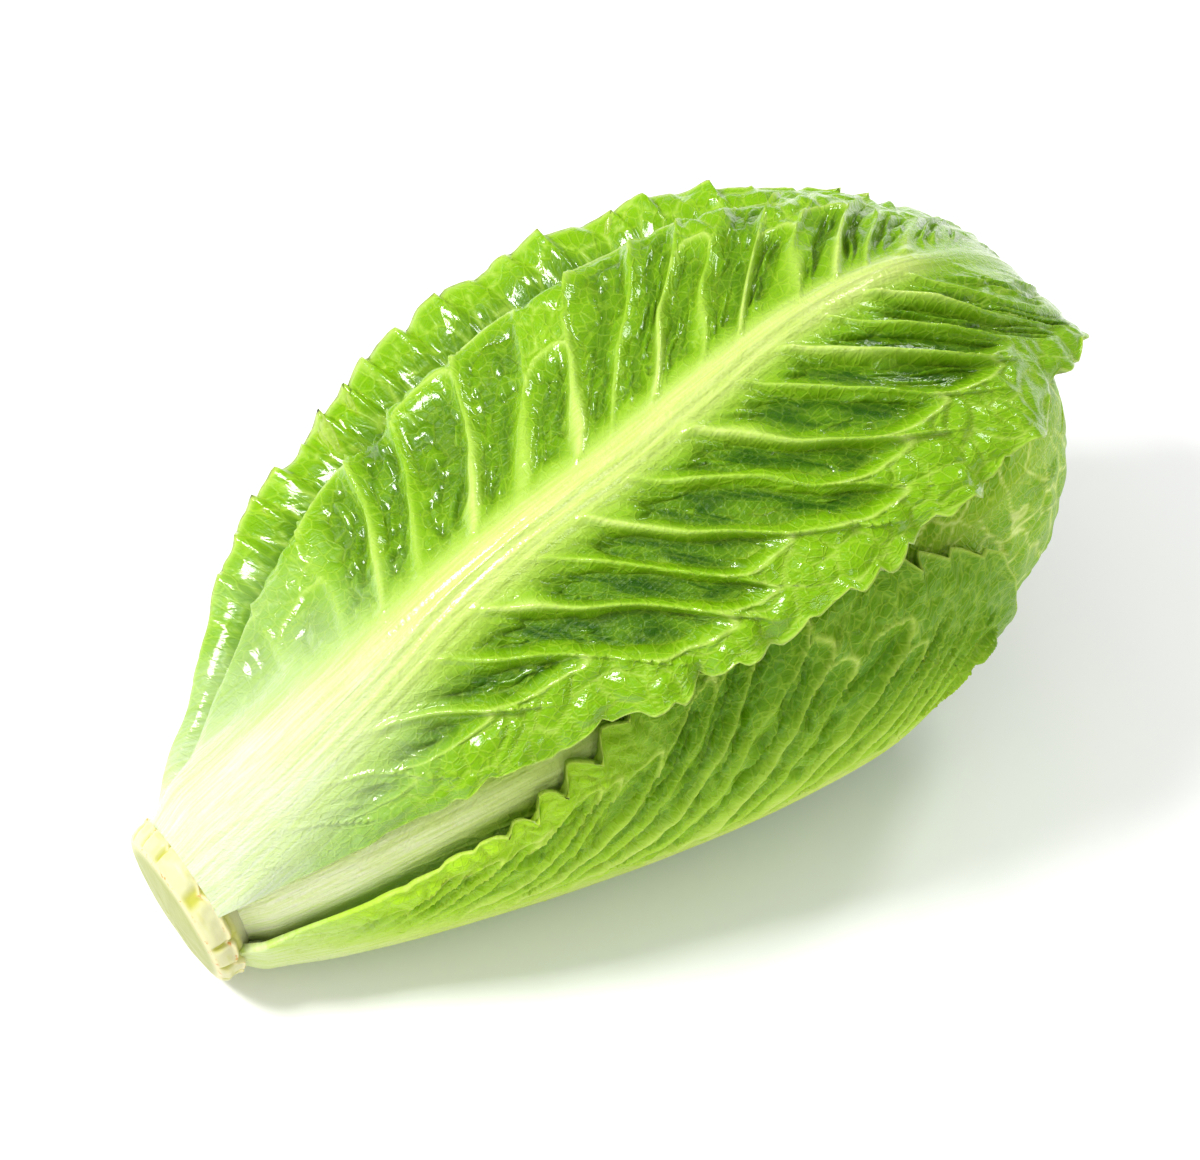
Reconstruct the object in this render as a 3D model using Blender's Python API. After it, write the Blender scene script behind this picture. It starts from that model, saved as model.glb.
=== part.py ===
"""Romaine heart: a trimmed stem butt and the leaves wrapped around it, lying on its side.

The heart's shape is a meridian: its half-width at each distance from the cut butt to the tip.
Every leaf is a closed shell laid on that meridian. A leaf is drawn in three steps:
  1. (p, q) on the leaf: p runs from its foot to its tip, q from one margin (-1) through the
     midrib (0) to the other margin (+1). Lines of constant p sweep forward like side veins.
  2. (x, r, angle) around the heart's own axis: the midrib keeps to its angle, the blade
     spreads to both sides of it, and each leaf lies on its own smaller copy of the meridian.
  3. place() bends the axis so that the heart lies on the ground, belly down.
Angles are in degrees around the axis: 0 faces -Y, 90 is up, -90 is the ground.
Sizes are in millimetres until to_object() turns them into metres.
"""
import bpy
import numpy as np

MM = 0.001                  # metres per millimetre
LENGTH = 216.0              # cut butt to the outer leaves' tips
BUTT_RADIUS = 17.5          # cut face of the stem
BUTT_TILT = 0.14            # lean of the cut face, as a slope
LEAN_FADES_BY = 60          # distance from the butt over which that lean dies out
BREADTH = 1.05              # side-to-side width over the height
BLADE = 1.1                 # thickness of a leaf's blade
GAP = 0.7                   # between a leaf's ground patch and the skin above it
SWEEP = 1.55                # how far the side veins run forward to the margin
VEIN_CURVE = 1.15           # 1 for straight side veins, more to curve them forward
CLOSE_FROM = 0.88           # from this p on, both halves of a leaf close over its tip
CROWN_ANGLE = 128           # where the innermost of the wrapping leaves has its rib
GOLDEN_ANGLE = 137.5        # turn from each inner leaf to the next one in
HEART_LEAVES = 8            # small leaves inside the wrapping ones

OUTER_ROWS, INNER_ROWS = 20, 12
OUTER_COLUMNS = (0, .06, .15, .32, .54, .78, 1)
FOLD_COLUMNS = (0, .06, .14, .28, .46, .64, .76, .85, 1)
INNER_COLUMNS = (0, .12, .36, .68, 1)
STEM_SIDES = 40
SCARS = 8                   # old leaf scars around the butt


def smooth(knots, values):
    """A smooth curve through the given points, as a function of the knot value."""
    k, f = np.asarray(knots, float), np.asarray(values, float)
    slope = np.gradient(f, k)

    def curve(x):
        x = np.clip(x, k[0], k[-1])
        i = np.clip(np.searchsorted(k, x) - 1, 0, len(k) - 2)
        h = k[i + 1] - k[i]
        t = (x - k[i]) / h
        rise = 3 * t ** 2 - 2 * t ** 3
        return (f[i] + (f[i + 1] - f[i]) * rise
                + h * (slope[i] * (t ** 3 - 2 * t ** 2 + t) + slope[i + 1] * (t ** 3 - t ** 2)))
    return curve


# The meridian of the outer leaves, from the butt to the tip, and the axis's height.
MERIDIAN_X = np.array([5, 14, 34, 62, 95, 128, 156, 178, 196, 208, 213.])
MERIDIAN_R = np.array([16.5, 20, 29, 40, 50, 55.5, 55.5, 50, 39.5, 26, 8.])
meridian_steps = np.hypot(np.diff(MERIDIAN_X), np.diff(MERIDIAN_R))
meridian_share = np.concatenate([[0], np.cumsum(meridian_steps)]) / meridian_steps.sum()
meridian_x, meridian_r = smooth(meridian_share, MERIDIAN_X), smooth(meridian_share, MERIDIAN_R)
axis_height = smooth([0, 20, 40, 71, 101, 128, 160, 195, 222],
                     [18, 26.3, 34.3, 42.3, 47.3, 50.5, 52.5, 53.5, 53.5])
# The belly is flattened where the heart's own weight rests on the ground.
belly = smooth([0, 34, 62, 95, 128, 156, 178, 222], [1, 1, 1, .965, .945, .972, 1, 1])
# How wide a leaf is at each part of its length, against its widest part.
outline = smooth([0, .06, .16, .3, .45, .6, .72, .83, .92, .97, 1],
                 [.62, .60, .62, .72, .86, .97, 1, .94, .76, .52, .25])
# The midrib stands out from the blade: height against its highest, and half-width in mm.
rib_rise = smooth([0, .08, .2, .5, .8, 1], [.1, .7, 1, .75, .35, .1])
rib_half_width = smooth([0, .1, .3, .6, 1], [13, 11, 7.5, 5, 2.5])


def place(x, r, angle):
    """Points of the heart's own (x, r, angle) in the lying heart, in mm."""
    sine, cosine = np.sin(np.radians(angle)), np.cos(np.radians(angle))
    flat = np.where(sine < 0, 1 + (belly(x) - 1) * sine ** 2, 1)
    lean = BUTT_TILT * r * sine * np.clip(1 - x / LEAN_FADES_BY, 0, 1) ** 2
    return np.stack([x - lean, -cosine * r * BREADTH, axis_height(x) + sine * r * flat], -1)


def bump(value, centre, width):
    return np.exp(-((value - centre) / width) ** 2)


def flat_lift(tau, q):
    """A leaf that lies close all over."""
    return np.zeros_like(tau)


def front_lift(tau, q):
    """The top leaf: one margin stands off, the other folds over the shoulder and flares."""
    right, left = np.clip(q, 0, 1), np.clip(-q, 0, 1)
    middle = np.sin(np.pi * np.clip((tau - .12) / .86, 0, 1))
    tip = 5 * np.clip((tau - .8) / .2, 0, 1) ** 1.5
    wave = 1.2 * np.sin(34 * tau) * right ** 4 * middle
    fold = smooth([0, .08, .18, .3, .45, .6, .72, .8, 1], [0, .3, .85, 1, .95, .6, .2, 0, 0])(tau)
    flare = 13 * np.clip((left - .82) / .18, 0, 1) ** 1.1
    crease = 5 * bump(left, .70, .12) - 6.5 * bump(left, .86, .055)
    return 1.5 + 9 * right ** 2.5 * middle + tip + wave + fold * (crease + flare)


def end_lift(tau, q):
    """A leaf whose end stands off from the heart."""
    return 3 * np.clip((tau - .7) / .3, 0, 1) ** 1.2 + 0 * q


def lower_lift(tau, q):
    """The leaf at the ground: its upper margin waves, and tucks in under the top leaf."""
    upper = np.clip(-q, 0, 1) ** 3
    tuck = smooth([0, .2, .4, .6, .85, 1], [.5, 1.5, 0, -1.6, -.6, 1])(tau)
    return upper * (tuck + np.sin(40 * tau) * np.sin(np.pi * np.clip(tau, 0, 1)))


class Leaf:
    """One leaf: where it starts, how far it reaches and the angles that it covers.

    start is its foot's (x, r); reach scales the meridian, and stretch its length alone; span
    is how much of the meridian the leaf covers before it ends. rib, left and right are angles
    in degrees, either one number or the points of a curve along the leaf.
    """

    def __init__(self, name, start, reach, rib, left, right, rib_height=2.0, lift=flat_lift,
                 rows=INNER_ROWS, columns=INNER_COLUMNS, rib_end=.93, floor=(0, 0), span=1, stretch=1):
        self.name, self.start, self.reach, self.lift = name, start, reach, lift
        self.rib_height, self.rows, self.columns = rib_height, rows, columns
        self.rib_end, self.floor, self.span, self.stretch = rib_end, floor, span, stretch
        self.rib = smooth(*rib) if isinstance(rib, tuple) else lambda tau: rib + 0 * tau
        self.left, self.right = self.spread(left), self.spread(right)

    @staticmethod
    def spread(angle):
        return smooth(*angle) if isinstance(angle, tuple) else lambda tau: angle * outline(tau)

    def meridian(self, tau):
        """This leaf's own meridian: (x, r) at tau from foot to tip."""
        x0, r0 = self.start
        scale = self.reach * self.stretch * (LENGTH - x0) / (LENGTH - MERIDIAN_X[0])
        covered = tau * self.span
        return (x0 + scale * (meridian_x(covered) - MERIDIAN_X[0]),
                r0 + self.reach * (meridian_r(covered) - MERIDIAN_R[0]))

    def skin(self, p, q, outside):
        """The outer or the inner face of the leaf at (p, q)."""
        margin_tau = 1 - (1 - p) ** SWEEP
        rib_tau = self.rib_end * p
        tau = rib_tau + (margin_tau - rib_tau) * np.abs(q) ** VEIN_CURVE
        closing = np.clip((1 - p) / (1 - CLOSE_FROM), 0, 1) ** .5
        spread = np.where(q < 0, self.left(margin_tau), -self.right(margin_tau))
        turn = spread * np.abs(q) * closing
        x, r = self.meridian(tau)
        ahead, behind = self.meridian(tau + .01), self.meridian(tau - .01)
        dx, dr = ahead[0] - behind[0], ahead[1] - behind[1]
        slant = np.maximum(np.hypot(dx, dr), 1e-6)
        sideways = np.radians(np.abs(turn)) * r
        rib = self.rib_height * rib_rise(tau) * bump(sideways, 0, rib_half_width(tau))
        off = self.lift(tau, q) + (BLADE / 2 + rib if outside else -BLADE / 2)
        points = place(x - off * dr / slant, r + off * dx / slant, self.rib(tau) + turn)
        points[..., 2] = np.maximum(points[..., 2], self.floor[0 if outside else 1])
        return points


def leaf_mesh(leaf):
    """Points and faces of a leaf: two skins, closed over the tip and around the rim."""
    columns = np.array([-c for c in leaf.columns[:0:-1]] + list(leaf.columns))
    rows, last = leaf.rows, len(columns) - 1
    p, q = np.meshgrid(np.linspace(0, 1, rows + 1), columns, indexing="ij")
    skins = []
    for outside in (True, False):
        skin = leaf.skin(p, q, outside)
        skin[-1] = (skin[-1] + skin[-1][::-1]) / 2
        skins.append(skin)
    points = np.concatenate([skin.reshape(-1, 3) for skin in skins])

    def corner(side, row, column):
        if row == rows:
            column = min(column, last - column)
        return (side * (rows + 1) + row) * (last + 1) + column

    faces = []
    for row in range(rows):
        for column in range(last):
            near, far = (row, column), (row + 1, column + 1)
            for half in ((near, (row, column + 1), far), (near, far, (row + 1, column))):
                faces.append([corner(0, *c) for c in half])
                faces.append([corner(1, *c) for c in reversed(half)])
        for column, step in ((0, 1), (last, -1)):
            rim = [corner(0, row, column), corner(0, row + 1, column),
                   corner(1, row + 1, column), corner(1, row, column)]
            faces.append(rim[::step])
    for column in range(last):
        faces.append([corner(1, 0, column), corner(1, 0, column + 1),
                      corner(0, 0, column + 1), corner(0, 0, column)])
    return points, faces


def stem_mesh():
    """The butt: a domed cut face, a ring of leaf scars and the core tapering into the heart."""
    angles = np.arange(STEM_SIDES) * 360 / STEM_SIDES
    scar = .035 * np.sin(np.radians(SCARS * angles))
    rings = [(-1.6, 6, 0), (-1.2, 12, 0), (-.4, 15.8, 0), (.6, BUTT_RADIUS - .4, .5),
             (2.2, BUTT_RADIUS, 1), (3.8, 17.3, .5), (4.3, 15.4, 0), (6.2, 13.6, 0),
             (9, 11.6, 0), (16, 9.2, 0), (26, 6.8, 0), (38, 4.6, 0), (50, 2.6, 0), (58, 1.2, 0)]
    points = [place(np.full(STEM_SIDES, x), r * (1 + amount * scar), angles)
              for x, r, amount in rings]
    ends = [place(np.array([-1.8]), np.zeros(1), np.zeros(1)),
            place(np.array([60.]), np.zeros(1), np.zeros(1))]
    faces = []
    for ring in range(len(rings) - 1):
        for side in range(STEM_SIDES):
            a, b = ring * STEM_SIDES + side, ring * STEM_SIDES + (side + 1) % STEM_SIDES
            faces.append([b, a, a + STEM_SIDES, b + STEM_SIDES])
    first, end = len(rings) * STEM_SIDES, (len(rings) - 1) * STEM_SIDES
    for side in range(STEM_SIDES):
        following = (side + 1) % STEM_SIDES
        faces.append([side, following, first])
        faces.append([end + following, end + side, first + 1])
    return np.concatenate(points + ends), faces


def outer_leaves():
    """The leaves that show, from the outside in."""
    shared = {"rows": OUTER_ROWS, "columns": OUTER_COLUMNS}
    front = Leaf("front_leaf", (4.4, 17.2), 1.0,
                 ([0, .09, .18, .27, .45, .63, .81, 1], [84, 79, 78.5, 80.5, 81.5, 86, 90.5, 98]),
                 ([0, .1, .2, .4, .6, .75, .9, 1], [50, 62, 72, 70, 57, 46, 40, 34]),
                 ([0, .15, .3, .5, .7, .85, 1], [43, 43, 46, 47, 47, 46, 44]),
                 rib_height=4.5, lift=front_lift, rows=OUTER_ROWS, columns=FOLD_COLUMNS, rib_end=.9)
    lower = Leaf("lower_leaf", (4.6, 17.0), .965,
                 ([0, .3, .6, 1], [-34, -40, -38, -18]),
                 ([0, .15, .3, .5, .7, .85, 1], [38, 46, 58, 80, 86, 62, 36]), 66,
                 rib_height=3.5, lift=lower_lift, floor=(0, GAP), span=.775, **shared)
    back = Leaf("back_leaf", (5.6, 15.7), .93, 200, 62,
                ([0, .08, .2, .4, .7, .9, 1], [62, 54, 46, 46, 52, 40, 25]),
                rib_height=2.5, floor=(2 * GAP, 3 * GAP), **shared)
    middle = Leaf("middle_leaf", (7, 14.6), .90, ([0, .3, .6, 1], [14, 24, 27, 30]), 60, 60,
                  rib_height=1.8, stretch=1.10, lift=end_lift, **shared)
    under = Leaf("under_leaf", (9, 13.4), .88, -105, 70, 66, rib_height=1.6, **shared)
    crown = Leaf("crown_leaf", (11.5, 12.0), .84, CROWN_ANGLE, 72, 70, rib_height=1.6, **shared)
    return [front, lower, back, middle, under, crown]


def heart_leaves():
    """The small leaves inside, each a golden-angle turn on from the one outside it."""
    leaves = []
    for i in range(HEART_LEAVES):
        start = (16 + 5.2 * i, 10.7 - 1.05 * i)
        leaves.append(Leaf(f"heart_leaf_{i + 1}", start, .78 - .068 * i,
                           CROWN_ANGLE + GOLDEN_ANGLE * (i + 1), 72, 72, rib_height=1.2))
    return leaves


def to_object(name, points, faces, origin, colour, roughness):
    """A mesh object in metres, with its own material."""
    mesh = bpy.data.meshes.new(name)
    used = sorted({corner for face in faces for corner in face})
    number = {old: new for new, old in enumerate(used)}
    mesh.from_pydata(((points[used] - origin) * MM).tolist(), [],
                     [[number[corner] for corner in face] for face in faces])
    mesh.validate()
    mesh.shade_smooth()
    mesh.set_sharp_from_angle(angle=np.radians(60))
    obj = bpy.data.objects.new(name, mesh)
    bpy.context.scene.collection.objects.link(obj)
    material = bpy.data.materials.new(name)
    material.use_nodes = True
    shader = material.node_tree.nodes["Principled BSDF"]
    shader.inputs["Base Color"].default_value = (*colour, 1)
    shader.inputs["Roughness"].default_value = roughness
    shader.inputs["Metallic"].default_value = 0
    mesh.materials.append(material)


def build():
    """The stem and all leaves, with the origin under the middle of the whole."""
    for obj in list(bpy.data.objects):
        bpy.data.objects.remove(obj, do_unlink=True)
    pieces = [("stem", *stem_mesh(), (.78, .84, .40), .5)]
    for leaf in outer_leaves():
        pieces.append((leaf.name, *leaf_mesh(leaf), (.20, .48, .03), .35))
    for leaf in heart_leaves():
        pieces.append((leaf.name, *leaf_mesh(leaf), (.55, .68, .16), .4))
    everything = np.concatenate([points for _, points, *_ in pieces])
    low, high = everything.min(0), everything.max(0)
    origin = np.array([(low[0] + high[0]) / 2, (low[1] + high[1]) / 2, low[2]])
    for name, points, faces, colour, roughness in pieces:
        to_object(name, points, faces, origin, colour, roughness)


build()
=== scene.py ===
"""The looks of a romaine heart: its cut butt, wrapped leaves, ribs, veins and blisters.

Each leaf is a closed shell worked out on a grid (p, q): p runs from foot to tip, q from one
margin (-1) through the midrib (0) to the other margin (+1). The wrapped shape is the solids'
own, with a deeper fold in the front leaf's left margin; the veins, hollows and ruffles are
added along its outward normal, and the teeth along its margin.
Sizes are in millimetres and angles in degrees around the heart's axis: 0 faces -Y, 90 is up.
"""
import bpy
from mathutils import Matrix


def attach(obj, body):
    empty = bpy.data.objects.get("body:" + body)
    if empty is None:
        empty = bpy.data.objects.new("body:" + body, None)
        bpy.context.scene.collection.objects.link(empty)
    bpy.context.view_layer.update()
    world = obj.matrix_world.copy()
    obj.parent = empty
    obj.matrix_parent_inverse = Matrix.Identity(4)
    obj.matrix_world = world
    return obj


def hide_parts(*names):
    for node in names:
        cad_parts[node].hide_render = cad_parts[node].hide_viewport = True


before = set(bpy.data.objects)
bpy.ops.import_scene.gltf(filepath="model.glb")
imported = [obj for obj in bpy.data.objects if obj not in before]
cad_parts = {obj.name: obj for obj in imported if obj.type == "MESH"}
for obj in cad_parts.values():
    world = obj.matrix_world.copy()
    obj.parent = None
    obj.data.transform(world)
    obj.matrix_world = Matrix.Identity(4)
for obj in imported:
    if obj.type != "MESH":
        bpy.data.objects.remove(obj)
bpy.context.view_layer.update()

from types import SimpleNamespace
import bpy
import numpy as np
from mathutils import Vector

MM = 0.001
ORIGIN = np.array([108.692, 0.879, 0.0])    # ground under the heart's middle, from the butt
LENGTH = 216.0
BUTT_TILT = 0.14            # the cut face leans back by this slope
LEAN_FADES_BY = 60
BREADTH = 1.05              # the heart's width, over what its meridian would give
BLADE = 0.8                 # thickness of a leaf between its veins
SWEEP = 1.55                # how fast the margins run ahead of the rib
VEIN_CURVE = 1.15           # how the side veins bend towards the tip
CLOSE_FROM = 0.88           # share of the leaf where its end starts to round off
CROWN_ANGLE = 128
GOLDEN_ANGLE = 137.5        # the turn from each leaf to the next one
HEART_LEAVES = 8
LEAF_RUN = 245.0            # length of the meridian, foot to tip
INNER_STEP = 8              # the hidden inner skin keeps one in so many lines
FOOT_TUCK = 1.6             # how far a foot sinks into the stem
LEFT_VEINS = 1.25           # side veins to the left of a rib, for each one to the right
STRING_PITCH = 2.4          # distances between repeated details, in mm
FLUTE_PITCH = 10
BLISTER_PITCH = 6
TOOTH_PITCH = 7.5
SCALLOP_PITCH = 24
LONG_WAVE = 27
SHORT_WAVE = 10.5
VEIN_HEIGHT = 1.1           # heights and depths of details, in mm
LOOP_HEIGHT = 0.8
PLEAT_HEIGHT = 1.1
BLISTER_HEIGHT = 1.3
NET_HEIGHT = 0.9
FLUTE_DEPTH = 0.8
STEM_SCARS = 12
NET_PER_MM = 0.38           # how many of a pattern's cells fit in a mm, or in a metre
MOTTLE_PER_MM = 0.8
PATCHES_PER_MM = 0.09
CRUMPLES_PER_MM = 0.7
CLOUDS_PER_M = 170
SPECKS_PER_M = 900
FIBRE_SIZE = (0.5, 14, 9)   # mm across the rib, along it and across the veins
ROOM_LIGHT = 0.74           # the room's brightness on the leaves, and in their shine
ROOM_SHINE = 0.06


def smooth(knots, values):
    """A smooth curve through the given points, as a function of the knot value."""
    k, f = np.asarray(knots, float), np.asarray(values, float)
    slope = np.gradient(f, k)

    def curve(x):
        x = np.clip(x, k[0], k[-1])
        i = np.clip(np.searchsorted(k, x) - 1, 0, len(k) - 2)
        h = k[i + 1] - k[i]
        t = (x - k[i]) / h
        rise = 3 * t ** 2 - 2 * t ** 3
        return (f[i] + (f[i + 1] - f[i]) * rise
                + h * (slope[i] * (t ** 3 - 2 * t ** 2 + t) + slope[i + 1] * (t ** 3 - t ** 2)))
    return curve


MERIDIAN_X = np.array([5, 14, 34, 62, 95, 128, 156, 178, 196, 208, 213.])
MERIDIAN_R = np.array([16.5, 20, 29, 40, 50, 55.5, 55.5, 50, 39.5, 26, 8.])
meridian_steps = np.hypot(np.diff(MERIDIAN_X), np.diff(MERIDIAN_R))
meridian_share = np.concatenate([[0], np.cumsum(meridian_steps)]) / meridian_steps.sum()
meridian_x, meridian_r = smooth(meridian_share, MERIDIAN_X), smooth(meridian_share, MERIDIAN_R)
axis_height = smooth([0, 20, 40, 71, 101, 128, 160, 195, 222],
                     [18, 26.3, 34.3, 42.3, 47.3, 50.5, 52.5, 53.5, 53.5])
belly = smooth([0, 34, 62, 95, 128, 156, 178, 222], [1, 1, 1, .965, .945, .972, 1, 1])
outline = smooth([0, .06, .16, .3, .45, .6, .72, .83, .92, .97, 1],
                 [.62, .60, .62, .72, .86, .97, 1, .94, .76, .52, .25])
rib_rise = smooth([0, .08, .2, .5, .8, 1], [.3, .75, 1, .75, .42, .15])
rib_half_width = smooth([0, .1, .3, .6, .85, 1], [15, 12, 8, 5.2, 3, 1.8])


def place(x, r, angle):
    """Points of the heart's own (x, r, angle) in the lying heart, in mm."""
    sine, cosine = np.sin(np.radians(angle)), np.cos(np.radians(angle))
    flat = np.where(sine < 0, 1 + (belly(x) - 1) * sine ** 2, 1)
    lean = BUTT_TILT * r * sine * np.clip(1 - x / LEAN_FADES_BY, 0, 1) ** 2
    return np.stack([x - lean, -cosine * r * BREADTH, axis_height(x) + sine * r * flat], -1)


def bump(value, centre, width):
    """A bell curve: 1 at its centre, and about a third at its width from there."""
    return np.exp(-((value - centre) / width) ** 2)


def ramp(value, start, end):
    """0 before start, 1 after end, and a soft S between them."""
    t = np.clip((value - start) / (end - start), 0, 1)
    return t * t * (3 - 2 * t)


def scatter(i, j, seed):
    """A repeatable number from 0 to 1 for each pair of whole numbers."""
    hashed = np.sin(i * 127.1 + j * 311.7 + seed * 74.7) * 43758.5453
    return hashed - np.floor(hashed)


def wander(u, v, seed):
    """Soft noise from -1 to 1: random values at whole numbers, blended between them."""
    i, j = np.floor(u), np.floor(v)
    s, t = ramp(u - i, 0, 1), ramp(v - j, 0, 1)
    low = scatter(i, j, seed) * (1 - s) + scatter(i + 1, j, seed) * s
    high = scatter(i, j + 1, seed) * (1 - s) + scatter(i + 1, j + 1, seed) * s
    return 2 * (low * (1 - t) + high * t) - 1


def cell_walls(u, v, seed):
    """0 on the walls between the cells around scattered points, up to about 1 in a cell."""
    i, j = np.floor(u), np.floor(v)
    nearest = np.full(np.shape(u), 9.)
    second = nearest.copy()
    for di in (-1, 0, 1):
        for dj in (-1, 0, 1):
            a, b = i + di, j + dj
            away = np.hypot(a + .1 + .8 * scatter(a, b, seed) - u,
                            b + .1 + .8 * scatter(a, b, seed + 5) - v)
            second = np.minimum(second, np.maximum(nearest, away))
            nearest = np.minimum(nearest, away)
    return second - nearest


def flat_lift(tau, q):
    """A leaf that lies close all over."""
    return np.zeros_like(tau)


def front_lift(tau, q):
    """The top leaf: its right margin stands off, its left one folds inwards and flares."""
    right, left = np.clip(q, 0, 1), np.clip(-q, 0, 1)
    middle = np.sin(np.pi * np.clip((tau - .12) / .86, 0, 1))
    tip = 5 * np.clip((tau - .8) / .2, 0, 1) ** 1.5
    fold = smooth([0, .08, .18, .3, .45, .6, .72, .8, 1], [0, .3, .85, 1, .95, .6, .2, 0, 0])(tau)
    flare = 13 * np.clip((left - .82) / .18, 0, 1) ** 1.1
    crease = 6 * bump(left, .70, .12) - 8.5 * bump(left, .85, .055)
    return 1.5 + 9 * right ** 2.5 * middle + tip + fold * (crease + flare)


def end_lift(tau, q):
    """A leaf whose end stands off from the heart."""
    return 3 * np.clip((tau - .7) / .3, 0, 1) ** 1.2 + 0 * q


def lower_lift(tau, q):
    """The leaf at the ground: its upper margin stands off, then tucks in under the top leaf."""
    tuck = smooth([0, .2, .4, .6, .85, 1], [.5, 1.5, 0, -1.6, -.6, 1])(tau)
    return np.clip(-q, 0, 1) ** 3 * tuck


class Leaf:
    """One leaf: where it starts, how far it reaches, the angles it covers and its relief.

    start is its foot's (x, r), reach scales the meridian, stretch lengthens it, and span is
    the share of it that the leaf covers. rib, left and right are angles, either one number or
    the points of a curve along the leaf. lift adds mm outwards, and floor is the lowest z that
    it may have. Pairs are for the left and the right of the rib: depth is how deep the hollows
    between the side veins are, and slant is how far the side veins sweep. loops says where the
    hollows end, pale and rib_fades from where to where the foot turns green and the rib sinks
    into the blade, deepens where the blade takes its margin's colour, and net the size of the
    small veins' cells and their strength. ruffle is how far the margin waves, and veins is the
    number of side veins to the right of the rib.
    """

    def __init__(self, name, slot, start, reach, rib, left, right, rib_height=2.0,
                 lift=flat_lift, grid=(96, 96), rib_end=.93, floor=-9.0, depth=(1.2, 1.2),
                 ruffle=1.2, veins=14, rib_width=1.0, loops=(.50, .35), span=1, stretch=1,
                 pale=(.05, .30), rib_fades=(.8, .93), slant=(-.02, .10),
                 net=(6.2, .55), deepens=(.55, .95, .1), seed=1):
        self.name, self.slot, self.start, self.reach, self.lift = name, slot, start, reach, lift
        self.rib_height, self.grid, self.rib_end, self.floor = rib_height, grid, rib_end, floor
        self.depth, self.ruffle, self.veins = depth, ruffle, veins
        self.rib_width, self.loops, self.seed = rib_width, loops, seed
        self.span, self.stretch, self.pale = span, stretch, pale
        self.rib_fades, self.slant, self.net, self.deepens = rib_fades, slant, net, deepens
        self.rib = smooth(*rib) if isinstance(rib, tuple) else lambda tau: rib + 0 * tau
        self.left, self.right = self.spread(left), self.spread(right)

    @staticmethod
    def spread(angle):
        """The angle from the rib to a margin, as a function of the share along the leaf."""
        return smooth(*angle) if isinstance(angle, tuple) else lambda tau: angle * outline(tau)

    def meridian(self, tau):
        """This leaf's own meridian: (x, r) at tau from foot to tip."""
        x0, r0 = self.start
        scale = self.reach * self.stretch * (LENGTH - x0) / (LENGTH - MERIDIAN_X[0])
        covered = tau * self.span
        return (x0 + scale * (meridian_x(covered) - MERIDIAN_X[0]),
                r0 + self.reach * (meridian_r(covered) - MERIDIAN_R[0]))

    def surface(self, p, q, outside):
        """Points of one skin at (p, q), with its paint and its run in mm.

        A point's tau, its share along the meridian, lies between the rib's and the margin's.
        The run is the way from the rib, the way from the foot and the way across the veins.
        """
        margin_tau = 1 - (1 - p) ** SWEEP
        rib_tau = self.rib_end * p
        out = np.abs(q)
        tau = rib_tau + (margin_tau - rib_tau) * out ** VEIN_CURVE
        closing = np.clip((1 - p) / (1 - CLOSE_FROM), 0, 1) ** .5
        spread = np.where(q < 0, self.left(margin_tau), -self.right(margin_tau))
        turn = spread * out * closing
        x, r = self.meridian(tau)
        side = np.radians(np.abs(turn)) * r * (1 + BREADTH) / 2
        along = tau * LEAF_RUN * self.reach * self.span
        at = SimpleNamespace(p=p, q=q, out=out, right=q > 0, tau=tau, side=side, along=along)
        rise, paint, across_veins = self.relief(at)
        teeth = closing * self.teeth(at)
        turn = turn + np.sign(q) * np.degrees(teeth / r)
        ahead, behind = self.meridian(tau + .01), self.meridian(tau - .01)
        dx, dr = ahead[0] - behind[0], ahead[1] - behind[1]
        slope = np.maximum(np.hypot(dx, dr), 1e-6)
        tucked = FOOT_TUCK * (1 - ramp(tau, 0, .035))
        off = self.lift(tau, q) + self.waves(at) - tucked + .5 * teeth * (q < 0)
        off = off + (BLADE / 2 + rise if outside else -BLADE / 2)
        points = place(x - off * dr / slope, r + off * dx / slope, self.rib(tau) + turn)
        points[..., 2] = np.maximum(points[..., 2], self.floor + (0 if outside else BLADE))
        return points, paint, np.stack([side * np.sign(q), along, across_veins], -1)

    def teeth(self, at):
        """The margin's outline: pointed teeth on soft scallops, leaning towards the tip."""
        left = at.q < 0
        seed = self.seed + 3 * at.right
        run = at.along + 2.5 * wander(at.along / 14, 0 * at.along, seed + 20)
        share = run / TOOTH_PITCH - np.floor(run / TOOTH_PITCH)
        tooth = np.minimum((share / .8) ** 1.6, (1 - share) / .2)
        tooth = tooth * (1.2 + wander(at.along / 9, 0 * at.along, seed))
        scallop = (2.0 - .8 * left) * np.abs(np.sin(np.pi * run / SCALLOP_PITCH))
        return (tooth * (1 + 1.6 * left) + scallop) * at.out ** 9 * ramp(at.along, 25, 70)

    def waves(self, at):
        """The ruffled margin: long and short waves that die out towards the rib."""
        drift = 1.5 * wander(at.along / 30, 0 * at.along, self.seed + 7 * at.right)
        long_wave = np.sin(2 * np.pi * at.along / LONG_WAVE + drift * 2) * at.out ** 4
        short_wave = .45 * np.sin(2 * np.pi * at.along / SHORT_WAVE + drift * 3) * at.out ** 8
        size = self.ruffle * (1 - .65 * (at.q < 0))
        return size * (long_wave + short_wave) * ramp(at.tau, .08, .3)

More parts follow.
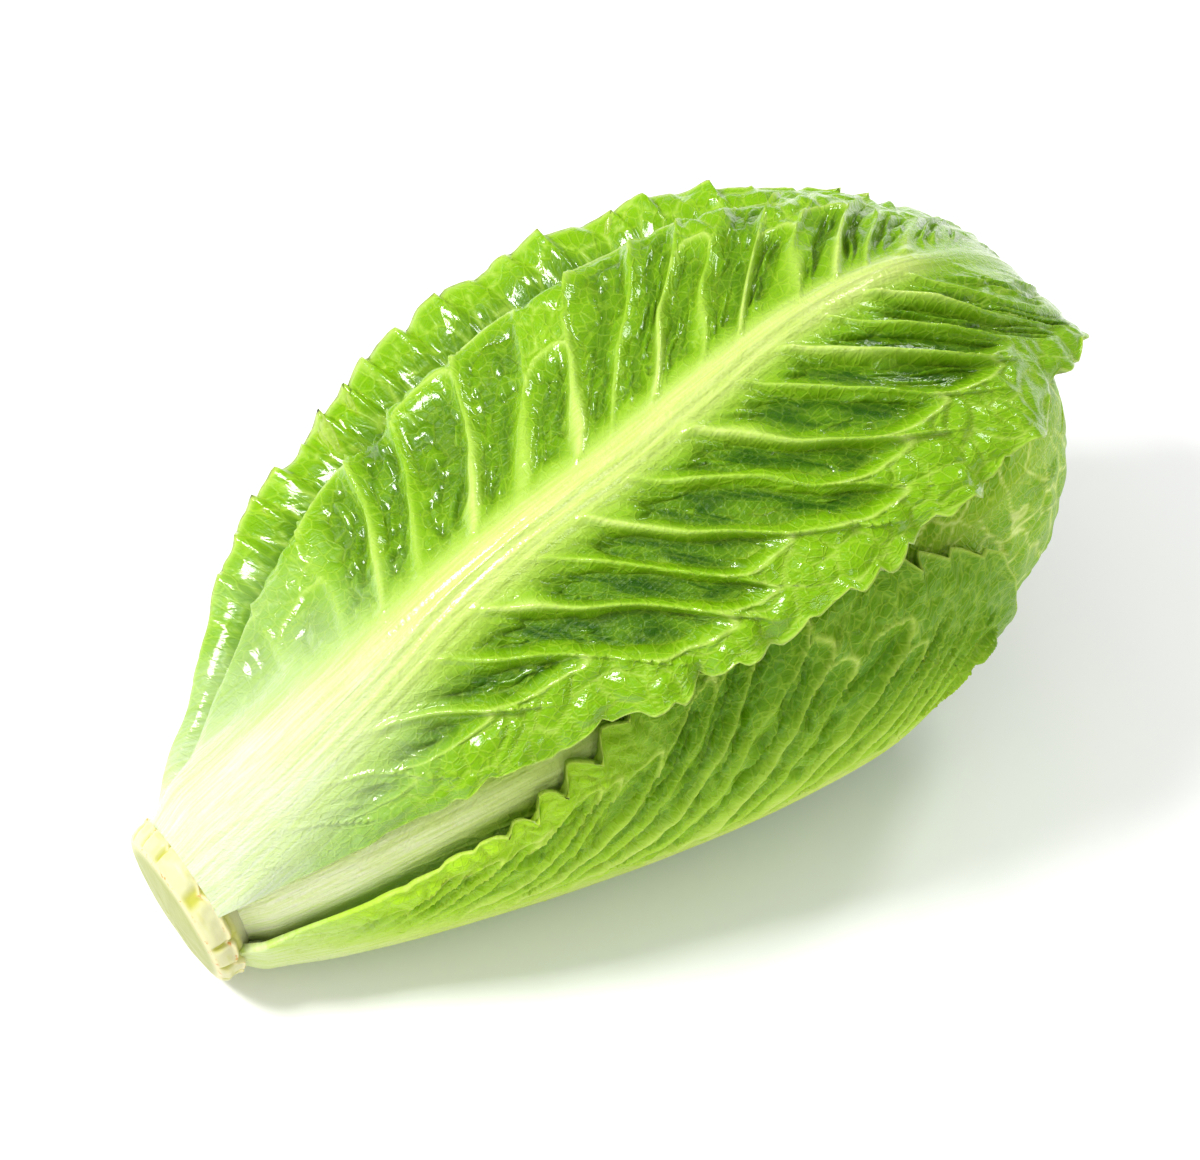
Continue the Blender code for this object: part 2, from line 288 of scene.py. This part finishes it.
    def relief(self, at):
        """Height in mm above the plain blade, the paint, and the way across the veins in mm.

        The midrib is a rounded bar. Side veins are ridges at even steps along the rib. Each
        pair of veins bounds a long hollow that starts at the rib and ends in a round loop;
        pleats and blisters lie in it, and beyond the loops a net of small veins runs to the
        margin. All of it fades into the blade towards the tip.
        """
        at.grown = ramp(at.tau + .10 * at.out, .10, .34)
        at.fade = 1 - .85 * ramp(at.tau, *self.rib_fades)
        at.half_rib = rib_half_width(at.tau) * self.rib_width
        pitch = self.count_veins(at)
        self.shape_hollows(at)
        self.shape_veins(at, pitch)
        self.shape_details(at)
        ragged = at.tau + .03 * wander(at.along / 25, at.side / 5, self.seed + 8) + .1 * at.out
        at.foot = 1 - ramp(ragged, *self.pale)
        depth = np.where(at.right, self.depth[1], self.depth[0])
        calm = (.35 + .65 * (1 - ramp(at.out, .86, 1))) * (1 - .6 * ramp(at.p, .9, 1))
        calm = calm * (.4 + .6 * at.fade)
        folds = wander(at.step * 6, at.side / 4.5, self.seed + 17)
        uneven = (.4 * wander(at.along / 4, at.side / 4, self.seed + 15)
                  + .7 * wander(at.along / 26, at.side / 20, self.seed + 16))
        flutes = np.sin(2 * np.pi * at.side / FLUTE_PITCH) * at.foot * ramp(at.side, 7, 14)
        height = (self.midrib(at) + depth * at.grown * (.4 - at.hollow) * calm * at.start
                  + VEIN_HEIGHT * at.vein * at.fade * depth / 2.5 + LOOP_HEIGHT * at.loop * at.fade
                  + PLEAT_HEIGHT * ramp(at.pleat, .35, 1) * at.hollow
                  + BLISTER_HEIGHT * ramp(at.blister, 0, .5) * at.hollow
                  + .5 * folds * at.hollow + FLUTE_DEPTH * flutes
                  + NET_HEIGHT * ramp(at.net, 0, .6) * at.margin * calm
                  + uneven * at.grown * at.start)
        return height, self.paint(at), at.step * pitch * 2

    def midrib(self, at):
        """The midrib: a rounded bar with a raised middle and strings along it."""
        bar = np.exp(-(at.side / at.half_rib) ** 2.4)
        wavy = at.side + 1.5 * wander(at.along / 40, at.side / 9, self.seed)
        strings = .16 * np.cos(2 * np.pi * wavy / STRING_PITCH)
        ridges = (.5 * bump(at.side, 0, 1.0) + strings * bar) * ramp(at.tau, .03, .2)
        height = self.rib_height * rib_rise(at.tau) * bar + ridges * self.rib_height / 4
        return height * (1 - .7 * ramp(at.tau, *self.rib_fades))

    def count_veins(self, at):
        """Steps along the rib, where each whole number is a side vein; gives half their pitch."""
        veins = self.veins * np.where(at.right, 1, LEFT_VEINS)
        drift = .30 * wander(at.p * veins * .9, at.out * 1.5 + 5 * at.right, self.seed)
        drift = drift + .14 * wander(at.p * veins * 2.6, at.out * 5 + 9 * at.right, self.seed + 1)
        swept = at.p - at.out * np.where(at.right, self.slant[1], self.slant[0])
        at.step = swept * veins + .5 * at.right + drift
        at.across = np.abs(2 * (at.step - np.floor(at.step)) - 1)
        return LEAF_RUN * self.reach * self.span / veins * .37

    def shape_hollows(self, at):
        """The hollows between side veins: 1 deep inside, 0 at the veins and past the loop."""
        at.loop_end = (self.loops[0]
                       + self.loops[1] * scatter(np.floor(at.step), 3. * at.right, self.seed))
        at.beyond = np.clip((at.out - (at.loop_end - .12)) / .12, 0, None)
        inside = 1 - (at.across ** 3 + at.beyond ** 3) ** (1 / 3)
        at.inside = inside + .06 * wander(at.step * 4, at.side / 5, self.seed + 3)
        at.start = ramp(at.side, at.half_rib * .7, at.half_rib * .7 + 9)
        at.hollow = ramp(at.inside, .04, .7) * at.start * at.grown
        at.margin = ramp(-at.inside, -.02, .15) * at.grown

    def shape_veins(self, at, pitch):
        """The side veins, every second one stronger, and the loops that join their ends."""
        major = .6 + .4 * (np.round(at.step) % 2)
        width = (1.5 - 1.1 * ramp(at.out, .1, .7)) * major
        vein = bump((1 - at.across) * pitch, 0, width)
        vein = vein * (1 - ramp(at.out, at.loop_end, at.loop_end + .12))
        vein = vein * ramp(at.side, at.half_rib * .5, at.half_rib * .9)
        at.vein = vein * (.25 + .75 * at.grown) * major
        loop = bump(at.inside, 0, .07) * ramp(at.beyond, 0, .5) * (1 - ramp(at.beyond, 1.1, 1.4))
        at.loop = loop * at.grown

    def shape_details(self, at):
        """Pleats and blisters for the hollows, and the net of small veins for the margin."""
        step, side, along, seed = at.step, at.side, at.along, self.seed
        pleat_at = step * 3 + .5 * wander(step * 2, side / 8, seed + 9)
        pleat_at = pleat_at + .25 * wander(step, side / 20, 8)
        at.pleat = np.abs(2 * (pleat_at - np.floor(pleat_at)) - 1)
        blister_v = side / BLISTER_PITCH + .8 * scatter(np.floor(pleat_at), at.right, seed + 2)
        blister_v = blister_v + .45 * wander(step * 2, side / BLISTER_PITCH, seed + 2)
        at.blister = cell_walls(pleat_at * .7, blister_v, seed + 11)
        net_u = along / self.net[0] + .5 * wander(along / 8, side / 8, seed + 4)
        net_v = side / self.net[0] + .5 * wander(along / 7, side / 9, seed + 6)
        at.net = cell_walls(net_u, net_v, seed + 13 + 3 * at.right)

    def paint(self, at):
        """Shares from 0 to 1 of vein, painted hollow shade, foot and the margin's deeper green."""
        netted = np.maximum(at.margin, (1 - at.fade) * at.grown)
        small = (bump(at.blister, 0, .08) * at.hollow * .12
                 + bump(at.net, 0, .07) * netted * self.net[1])
        bar = np.exp(-(at.side / (at.half_rib * 1.05)) ** 3)
        thinning = at.vein * (.9 - .45 * ramp(at.out, .15, .6))
        # painted highlight: a pale rim along the margin, where the rolled edge catches the light
        rim = .7 * ramp(at.out, .975, 1) * at.grown
        large = np.maximum.reduce([bar, thinning, .75 * at.loop]) * at.fade
        veins = np.maximum.reduce([large, small, rim]).clip(0, 1)
        # painted shade: the hollows are darker; the blister tops and the left half, which faces
        # the key light, are less dark
        shade = at.hollow * (1 - .5 * ramp(at.blister, .1, .6)) * np.where(at.right, 1, .7)
        # the painted shade of the fold's crease joins the hollows' painted shade
        shade = np.clip(shade + self.crease_shade(at), 0, 1) * (1 - .85 * at.foot)
        # the margin's deeper green; on the ground leaf it is painted shade from the top leaf above
        # it
        inner, outer, beginning = self.deepens
        deep = ramp(at.out, inner, outer) * ramp(at.tau, beginning, beginning + .2)
        deep = deep * (1 - 2 * self.crease_shade(at)).clip(0, 1)
        return np.stack([veins, shade * (.4 + .6 * at.fade), at.foot, deep], -1)

    def crease_shade(self, at):
        """Painted shade from 0 to 1, deep in the fold of the front leaf's left margin."""
        if self.lift is not front_lift:
            return 0 * at.tau
        return .8 * bump(at.q, -.86, .06) * ramp(at.tau, .06, .2) * (1 - ramp(at.tau, .5, .7))


def leaf_object(leaf, material):
    """A leaf's two skins, closed over the tip, around both margins and along the foot.

    The outer skin has every grid line, the inner one every row and one column in eight, so
    the rows meet one to one at the margins and each foot face has eleven corners.
    """
    rows, columns = leaf.grid
    p_line = np.linspace(0, 1, rows + 1)
    q_line = np.linspace(-1, 1, columns + 1)
    parts, numbers, first = [], [], 0
    for outside, line in ((True, q_line), (False, q_line[::INNER_STEP])):
        p, q = np.meshgrid(p_line, line, indexing="ij")
        points, paint, run = leaf.surface(p, q, outside)
        points[-1] = (points[-1] + points[-1][::-1]) / 2
        last = len(line) - 1
        number = first + np.arange((rows + 1) * (last + 1)).reshape(rows + 1, last + 1)
        number[-1] = np.minimum(number[-1], number[-1][::-1])
        first += number.size
        parts.append((points.reshape(-1, 3), paint.reshape(-1, 4), run.reshape(-1, 3)))
        numbers.append(number)
    points, paint, run = (np.concatenate(arrays) for arrays in zip(*parts))
    outer, inner = numbers

    def quads(n):
        return np.stack([n[:-1, :-1], n[:-1, 1:], n[1:, 1:], n[1:, :-1]], -1).reshape(-1, 4)

    left = np.stack([outer[:-1, 0], outer[1:, 0], inner[1:, 0], inner[:-1, 0]], -1)
    right = np.stack([inner[:-1, -1], inner[1:, -1], outer[1:, -1], outer[:-1, -1]], -1)
    faces = np.concatenate([quads(outer), quads(inner)[:, ::-1], left, right])
    steps = np.arange(0, columns, INNER_STEP)
    foot = np.concatenate([outer[0, steps[:, None] + np.arange(INNER_STEP, -1, -1)],
                           inner[0, :-1, None], inner[0, 1:, None]], 1)
    corners = np.concatenate([faces.ravel(), foot.ravel()])
    sizes = np.concatenate([np.full(len(faces), 4), np.full(len(foot), foot.shape[1])])
    return mesh_object(leaf.name + "_blade", points, corners, sizes, material, paint, run)


def mesh_object(name, points, corners, sizes, material, paint, run=None):
    """A smooth mesh from arrays of points in mm, face corners and corners per face."""
    used, corners = np.unique(corners, return_inverse=True)
    mesh = bpy.data.meshes.new(name)
    mesh.vertices.add(len(used))
    mesh.vertices.foreach_set("co", ((points[used] - ORIGIN) * MM).astype(np.float32).ravel())
    mesh.loops.add(len(corners))
    mesh.loops.foreach_set("vertex_index", corners.astype(np.int32).ravel())
    mesh.polygons.add(len(sizes))
    starts = np.concatenate([[0], np.cumsum(sizes)[:-1]])
    mesh.polygons.foreach_set("loop_start", starts.astype(np.int32))
    mesh.update(calc_edges=True)
    colours = mesh.attributes.new("paint", "FLOAT_COLOR", "POINT")
    colours.data.foreach_set("color", paint[used].astype(np.float32).ravel())
    if run is not None:
        runs = mesh.attributes.new("run", "FLOAT_VECTOR", "POINT")
        runs.data.foreach_set("vector", run[used].astype(np.float32).ravel())
    mesh.validate()
    mesh.shade_smooth()
    mesh.materials.append(material)
    obj = bpy.data.objects.new(name, mesh)
    bpy.context.scene.collection.objects.link(obj)
    return obj


def stem_object(material):
    """The butt: a domed cut face, a collar of leaf scars and the hidden core, turned on its axis.

    Its outline is a profile of (x, r). Around the collar each old leaf has left an arched scar
    whose lip stands out, with a gap above it and between it and the next.
    """
    shares = [0, .16, .30, .36, .42, .50, .58, .66, .76, .86, 1]
    profile_x = smooth(shares, [-1.8, -1.4, -.7, -.1, 1.0, 3.0, 5.5, 8, 20, 38, 58])
    profile_r = smooth(shares, [0, 8, 14, 16.3, 17.3, 17.6, 17.2, 14.5, 9, 4.6, 0])
    around, rings = 288, 220
    v, u = np.meshgrid(np.linspace(0, 1, rings + 1), np.arange(around) / around, indexing="ij")
    x, r = profile_x(v), profile_r(v)
    collar = ramp(v, .34, .42) * (1 - ramp(v, .56, .64))
    scar = u * STEM_SCARS + .35 * np.sin(2 * np.pi * u * 3)
    local = np.abs(2 * (scar - np.floor(scar)) - 1)
    arch = 4.6 - 1.6 * local ** 3 + .6 * wander(scar * 2, 0 * x, 3)
    lip = bump(x, arch, .45) * collar
    gap = np.maximum(ramp(local, .72, .95), .8 * ramp(x - arch, .2, 1)) * collar
    r = r + .5 * lip - .8 * gap + .2 * wander(u * 60, x * .8, 7) * collar
    face = 1 - ramp(v, .28, .36)
    x = x + .12 * wander(u * 18, r / 5, 5) * face
    points = place(x, np.maximum(r, 0), 360 * u)
    number = np.arange((rings + 1) * around).reshape(rings + 1, around)
    number[0], number[-1] = number[0, 0], number[-1, 0]
    following = np.roll(number, -1, 1)
    faces = np.stack([following[:-1], number[:-1], number[1:], following[1:]], -1)
    top, body, end = faces[0][:, 1:], faces[1:-1].reshape(-1, 4), faces[-1][:, :3]
    corners = np.concatenate([top.ravel(), body.ravel(), end.ravel()])
    sizes = np.concatenate([np.full(around, 3), np.full(len(body), 4), np.full(around, 3)])
    stain = ramp(wander(scar * 2.2, x * .9, 11), .1, .8) * collar
    rim = bump(v, .35, .02)
    paint = np.stack([np.maximum(lip, rim), np.maximum(gap, .3 * stain), face,
                      np.ones_like(x)], -1)
    return mesh_object("stem_butt", points.reshape(-1, 3), corners, sizes, material,
                       paint.reshape(-1, 4))


def linear(hex_colour):
    """An sRGB hex colour as linear RGBA."""
    parts = [int(hex_colour[i:i + 2], 16) / 255 for i in (1, 3, 5)]
    return (*[c / 12.92 if c <= .04045 else ((c + .055) / 1.055) ** 2.4 for c in parts], 1)


def add(tree, kind, settings=(), **links):
    """Adds a node: settings are its properties, links its inputs, as values or as sockets.

    An input goes by its name with _ for spaces, or by i and its number.
    """
    node = tree.nodes.new(kind)
    for name, value in dict(settings).items():
        setattr(node, name, value)
    for name, value in links.items():
        numbered = name[0] == "i" and name[1:].isdigit()
        socket = node.inputs[int(name[1:]) if numbered else name.replace("_", " ")]
        if isinstance(value, bpy.types.NodeSocket):
            tree.links.new(value, socket)
        else:
            socket.default_value = value
    return node


def mixed(tree, share, first, second):
    """One colour over another, by a share from 0 to 1; each is a hex colour or a socket."""
    first, second = (linear(one) if isinstance(one, str) else one for one in (first, second))
    node = add(tree, "ShaderNodeMix", {"data_type": "RGBA", "clamp_factor": True},
               i0=share, i6=first, i7=second)
    return node.outputs[2]


def maths(tree, operation, first, second):
    """Two values joined by one operation."""
    return add(tree, "ShaderNodeMath", {"operation": operation}, i0=first, i1=second).outputs[0]


def rescaled(tree, value, start, end, low=0., high=1.):
    """A value's way from start to end, as a number from low to high."""
    return add(tree, "ShaderNodeMapRange", Value=value, From_Min=start, From_Max=end,
               To_Min=low, To_Max=high).outputs[0]


def noise(tree, at, scale, detail, distortion=0.):
    """Soft clouds, from 0 to 1."""
    return add(tree, "ShaderNodeTexNoise", Vector=at, Scale=scale, Detail=detail,
               Distortion=distortion).outputs["Fac"]


def new_finish(name, values):
    """A new material, its nodes and its shader, with constant values on the shader's sockets."""
    material = bpy.data.materials.new(name)
    material.use_nodes = True
    shader = material.node_tree.nodes["Principled BSDF"]
    for socket, value in values.items():
        shader.inputs[socket].default_value = value
    return material, material.node_tree, shader


def paint_of(tree):
    """The four shares painted on the mesh; the stem has only three, and 1."""
    paint = add(tree, "ShaderNodeAttribute", {"attribute_name": "paint"})
    parts = add(tree, "ShaderNodeSeparateColor", i0=paint.outputs["Color"])
    return (*parts.outputs, paint.outputs["Alpha"])


def relieve(tree, shader, socket, strength, distance, height):
    """Fine relief too small to model, on one of the shader's normals."""
    relief = add(tree, "ShaderNodeBump", Strength=strength, Distance=distance, Height=height)
    tree.links.new(relief.outputs[0], shader.inputs[socket])


def small_veins(tree, run, covered):
    """The share of the pale net of the smallest veins, weak where other things cover it."""
    cells = add(tree, "ShaderNodeTexVoronoi", {"feature": "DISTANCE_TO_EDGE"},
                Vector=run, Scale=NET_PER_MM)
    line = add(tree, "ShaderNodeMapRange", {"interpolation_type": "SMOOTHSTEP"},
               Value=cells.outputs["Distance"], From_Min=0., From_Max=.11, To_Min=.34, To_Max=0.)
    return maths(tree, "MULTIPLY", line.outputs[0], rescaled(tree, covered, 0., 1., 1., .2))


def lettuce(name, wax, blade, margin, hollow, vein, rib, foot):
    """Fresh romaine leaf: a thin moist blade with a waxy skin over water-filled tissue.

    Light spreads inside it, so it glows between the veins; the skin gives wet highlights.
    Small veins 2 to 3 mm apart show as a paler net, and the ribs carry fine length-wise fibres.
    """
    material, tree, shader = new_finish(name, {
        "Metallic": 0, "IOR": 1.42, "Specular IOR Level": .2,
        "Subsurface Weight": .25, "Subsurface Radius": (.8, 1.0, .25),
        "Subsurface Scale": 1.6 * MM,
        "Coat Weight": wax, "Coat Roughness": .1, "Coat IOR": 1.4})
    veins, hollows, feet, deep = paint_of(tree)
    run = add(tree, "ShaderNodeAttribute", {"attribute_name": "run"}).outputs["Vector"]
    side, along, across = add(tree, "ShaderNodeSeparateXYZ", i0=run).outputs
    fibres = add(tree, "ShaderNodeMapping", {"vector_type": "TEXTURE"}, Vector=run,
                 Scale=FIBRE_SIZE)
    strands = noise(tree, fibres.outputs[0], 1., 2.)
    mottle = noise(tree, run, MOTTLE_PER_MM, 3.)
    covered = maths(tree, "MAXIMUM", maths(tree, "MAXIMUM", hollows, veins), feet)
    net = small_veins(tree, run, covered)

    pale = rescaled(tree, strands, .35, .65)
    colour = mixed(tree, noise(tree, run, PATCHES_PER_MM, 3.), *blade)
    # on the ground leaf the margin colour is painted shade from the top leaf
    colour = mixed(tree, deep, colour, margin)
    # painted shade: the hollows and the front leaf's crease take the darker hollow colour
    colour = mixed(tree, hollows, colour, hollow)
    colour = mixed(tree, net, colour, vein)
    colour = mixed(tree, veins, colour, mixed(tree, veins, vein, mixed(tree, pale, *rib)))
    colour = mixed(tree, feet, colour, mixed(tree, pale, *foot))
    tree.links.new(colour, shader.inputs["Base Color"])
    tree.links.new(rescaled(tree, mottle, .3, .7, .26, .44), shader.inputs["Roughness"])

    pleats = add(tree, "ShaderNodeCombineXYZ", i0=across, i1=maths(tree, "MULTIPLY", side, .28))
    crumple = noise(tree, pleats.outputs[0], CRUMPLES_PER_MM, 3., distortion=.4)
    crumpled = maths(tree, "MULTIPLY", crumple, hollows)
    grain = maths(tree, "ADD", mottle, net)
    grain = maths(tree, "ADD", grain, maths(tree, "MULTIPLY", strands, .6))
    grain = maths(tree, "ADD", grain, maths(tree, "MULTIPLY", crumpled, 1.5))
    relieve(tree, shader, "Normal", .6, .7 * MM, grain)
    relieve(tree, shader, "Coat Normal", .5, .15 * MM, grain)
    return material


def cut_stem():
    """Cut lettuce stem: moist pith, pale yellow-green, with a cream collar of leaf scars.

    The pith is satin and slightly translucent; the scars' edges have browned where they dried.
    """
    material, tree, shader = new_finish("cut_lettuce_stem", {
        "Metallic": 0, "IOR": 1.4, "Roughness": .42,
        "Subsurface Weight": .5, "Subsurface Radius": (1., .9, .4),
        "Subsurface Scale": 3 * MM})
    lips, stains, face, _ = paint_of(tree)
    place_m = add(tree, "ShaderNodeTexCoord").outputs["Object"]
    soft = noise(tree, place_m, CLOUDS_PER_M, 4.)
    fine = noise(tree, place_m, SPECKS_PER_M, 2.)
    colour = mixed(tree, soft, "#d0ca98", "#c8cca0")
    colour = mixed(tree, stains, colour, "#bcbc4c")
    colour = mixed(tree, lips, colour, "#dcd2a0")
    colour = mixed(tree, face, colour, mixed(tree, soft, "#989f50", "#a3a95e"))
    spots = maths(tree, "MULTIPLY", rescaled(tree, fine, .58, .66), lips)
    colour = mixed(tree, spots, colour, "#c98a2c")
    tree.links.new(colour, shader.inputs["Base Color"])
    relieve(tree, shader, "Normal", .25, .4 * MM, fine)
    return material


def leaves():
    """All leaves, from the outside in."""
    front = Leaf("front_leaf", "front_leaf", (4.4, 17.2), 1.0,
                 ([0, .09, .18, .27, .45, .63, .81, 1],
                  [84, 79, 78.5, 80.5, 81.5, 86, 90.5, 98]),
                 ([0, .1, .2, .4, .6, .75, .9, 1], [50, 62, 72, 70, 57, 46, 40, 34]),
                 ([0, .15, .3, .5, .7, .85, 1], [43, 43, 46, 47, 47, 46, 44]),
                 rib_height=4.5, lift=front_lift, rib_end=.9, grid=(400, 208),
                 depth=(2.8, 4.2), ruffle=2.0, veins=16,
                 rib_fades=(.75, .84), seed=3)
    lower = Leaf("lower_leaf", "lower_leaf", (4.6, 17.0), .965,
                 ([0, .3, .6, 1], [-34, -40, -38, -18]),
                 ([0, .15, .3, .5, .7, .85, 1], [38, 46, 58, 80, 86, 62, 36]), 66,
                 rib_height=3.5, lift=lower_lift, floor=0, grid=(340, 208),
                 depth=(2.0, 1.2), ruffle=1.2, veins=17, loops=(.70, .16), span=.775,
                 pale=(.04, .26), slant=(.14, .10), net=(5.2, .34),
                 # where the ground leaf takes its painted shade from the top leaf
                 deepens=(.2, .75, .35), seed=14)
    back = Leaf("back_leaf", "back_leaf", (5.6, 15.7), .93, 200, 62,
                ([0, .08, .2, .4, .7, .9, 1], [62, 54, 46, 46, 52, 40, 25]),
                rib_height=2.8, floor=1.4, grid=(200, 192), depth=(1.5, 1.5),
                ruffle=1.2, veins=15, seed=25)
    middle = Leaf("middle_leaf", "middle_leaf", (7, 14.6), .90,
                  ([0, .3, .6, 1], [14, 24, 27, 30]), 60, 60, rib_height=2.0, rib_width=.6,
                  lift=end_lift, grid=(240, 208), depth=(1.3, 1.3), ruffle=1.0, veins=14,
                  stretch=1.10, loops=(.25, .2), rib_fades=(.5, .7), net=(9, 1),
                  pale=(.05, .3), seed=36)
    under = Leaf("under_leaf", "under_leaf", (9, 13.4), .88, -105, 70, 66, rib_height=2.0,
                 grid=(128, 112), depth=(1.2, 1.2), ruffle=1.0, veins=13, floor=2.2, seed=47)
    crown = Leaf("crown_leaf", "crown_leaf", (11.5, 12.0), .84, CROWN_ANGLE, 72, 70,
                 rib_height=2.0, grid=(128, 112), depth=(1.2, 1.2), ruffle=1.0, veins=13, seed=58)
    inside = []
    for i in range(HEART_LEAVES):
        start = (16 + 5.2 * i, 10.7 - 1.05 * i)
        inside.append(Leaf(f"heart_leaf_{i + 1}", "heart_leaf", start, .78 - .068 * i,
                           CROWN_ANGLE + GOLDEN_ANGLE * (i + 1), 72, 72, rib_height=1.4,
                           grid=(80, 64), depth=(.8, .8), ruffle=.8, veins=11, seed=70 + 11 * i))
    return [front, lower, back, middle, under, crown] + inside


def lamp(name, spot, size, power):
    """A square soft light, turned to the middle of the table."""
    light = bpy.data.lights.new(name, "AREA")
    light.size, light.energy = size, power
    stand = bpy.data.objects.new(name, light)
    stand.location = spot
    stand.rotation_euler = (-Vector(spot)).to_track_quat("-Z", "Y").to_euler()
    bpy.context.scene.collection.objects.link(stand)


def studio():
    """A white table in a white room, with the main light above on the left and two weak ones.

    The room lights the leaves more than it shows in their skin, so highlights are the lamps'.
    """
    bpy.ops.mesh.primitive_plane_add(size=6)
    floor = bpy.context.object
    floor.name = "table"
    white, _, _ = new_finish("white_table", {
        "Base Color": (.93, .93, .93, 1), "Roughness": .9, "Specular IOR Level": .1})
    floor.data.materials.append(white)
    world = bpy.data.worlds.new("white_room")
    bpy.context.scene.world = world
    world.use_nodes = True
    background = world.node_tree.nodes["Background"]
    background.inputs["Color"].default_value = (1, 1, 1, 1)
    seen = add(world.node_tree, "ShaderNodeLightPath").outputs["Is Glossy Ray"]
    dimmed = rescaled(world.node_tree, seen, 0., 1., ROOM_LIGHT, ROOM_SHINE)
    world.node_tree.links.new(dimmed, background.inputs["Strength"])
    lamp("key", (-.55, .3, .9), .28, 11.5)
    lamp("side", (.8, .2, .8), .2, 3.2)
    lamp("fill", (-.2, -.9, .7), .25, 1.3)
    bpy.context.scene.view_settings.view_transform = "Standard"


def camera():
    """Looks down on the heart from the front left, along azimuth -34 and 53 degrees down."""
    azimuth, elevation, distance = np.radians(-34), np.radians(53), 1.0
    target = Vector((-.0002, .0029, .0471))
    back = Vector((np.sin(azimuth) * np.cos(elevation), -np.cos(azimuth) * np.cos(elevation),
                   np.sin(elevation)))
    data = bpy.data.cameras.new("camera")
    data.lens, data.sensor_width, data.clip_start = 142.5, 36, .01
    view = bpy.data.objects.new("camera", data)
    view.location = target + back * distance
    view.rotation_euler = back.to_track_quat("Z", "Y").to_euler()
    bpy.context.scene.collection.objects.link(view)
    bpy.context.scene.camera = view


def finishes():
    """The finish of each slot: the sunlit outer leaves are the deepest green, the heart's pale."""
    # each hollow colour below is painted shade for the hollows between the veins
    outer = lettuce("romaine_outer_leaf", wax=.8, blade=("#7fae0c", "#6a9c06"),
                    margin="#76a800", hollow="#225000", vein="#a6ca34",
                    rib=("#c6d67c", "#b8ce66"), foot=("#cfd6bc", "#c6d49c"))
    # painted light: the ground leaf's blade is painted lighter to make up for the weak fill light
    ground = lettuce("romaine_ground_leaf", wax=.12, blade=("#b0da24", "#98ca12"),
                     margin="#669606", hollow="#4a8004", vein="#aed03c",
                     rib=("#cfe078", "#bcd458"), foot=("#d2dcac", "#bcd070"))
    # the foot is pale, and painted lighter still to make up for the shade it lies in (painted
    # light)
    second = lettuce("romaine_second_leaf", wax=.12, blade=("#86b808", "#72a404"),
                     margin="#80b400", hollow="#4c8200", vein="#d0e448",
                     rib=("#dcec94", "#cce078"), foot=("#eef2cc", "#dcea9c"))
    tender = lettuce("romaine_heart_leaf", wax=.5, blade=("#bdd862", "#a9cf4a"),
                     margin="#b4d450", hollow="#8fbc34", vein="#dcee98",
                     rib=("#f0f6c4", "#e8f2b0"), foot=("#f8faea", "#f0f5d4"))
    return {"front_leaf": outer, "lower_leaf": ground, "back_leaf": outer, "middle_leaf": second,
            "under_leaf": second, "crown_leaf": second, "heart_leaf": tender}


def build():
    """Makes each piece in its slot's finish, hangs it on the root and hides the part it stands
    for.
    """
    finish = finishes()
    pieces = [(stem_object(cut_stem()), "stem", "stem")]
    for leaf in leaves():
        pieces.append((leaf_object(leaf, finish[leaf.slot]), leaf.name, leaf.slot))
    for piece, node, slot in pieces:
        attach(piece, "root")
        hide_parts(node)


build()
studio()
camera()
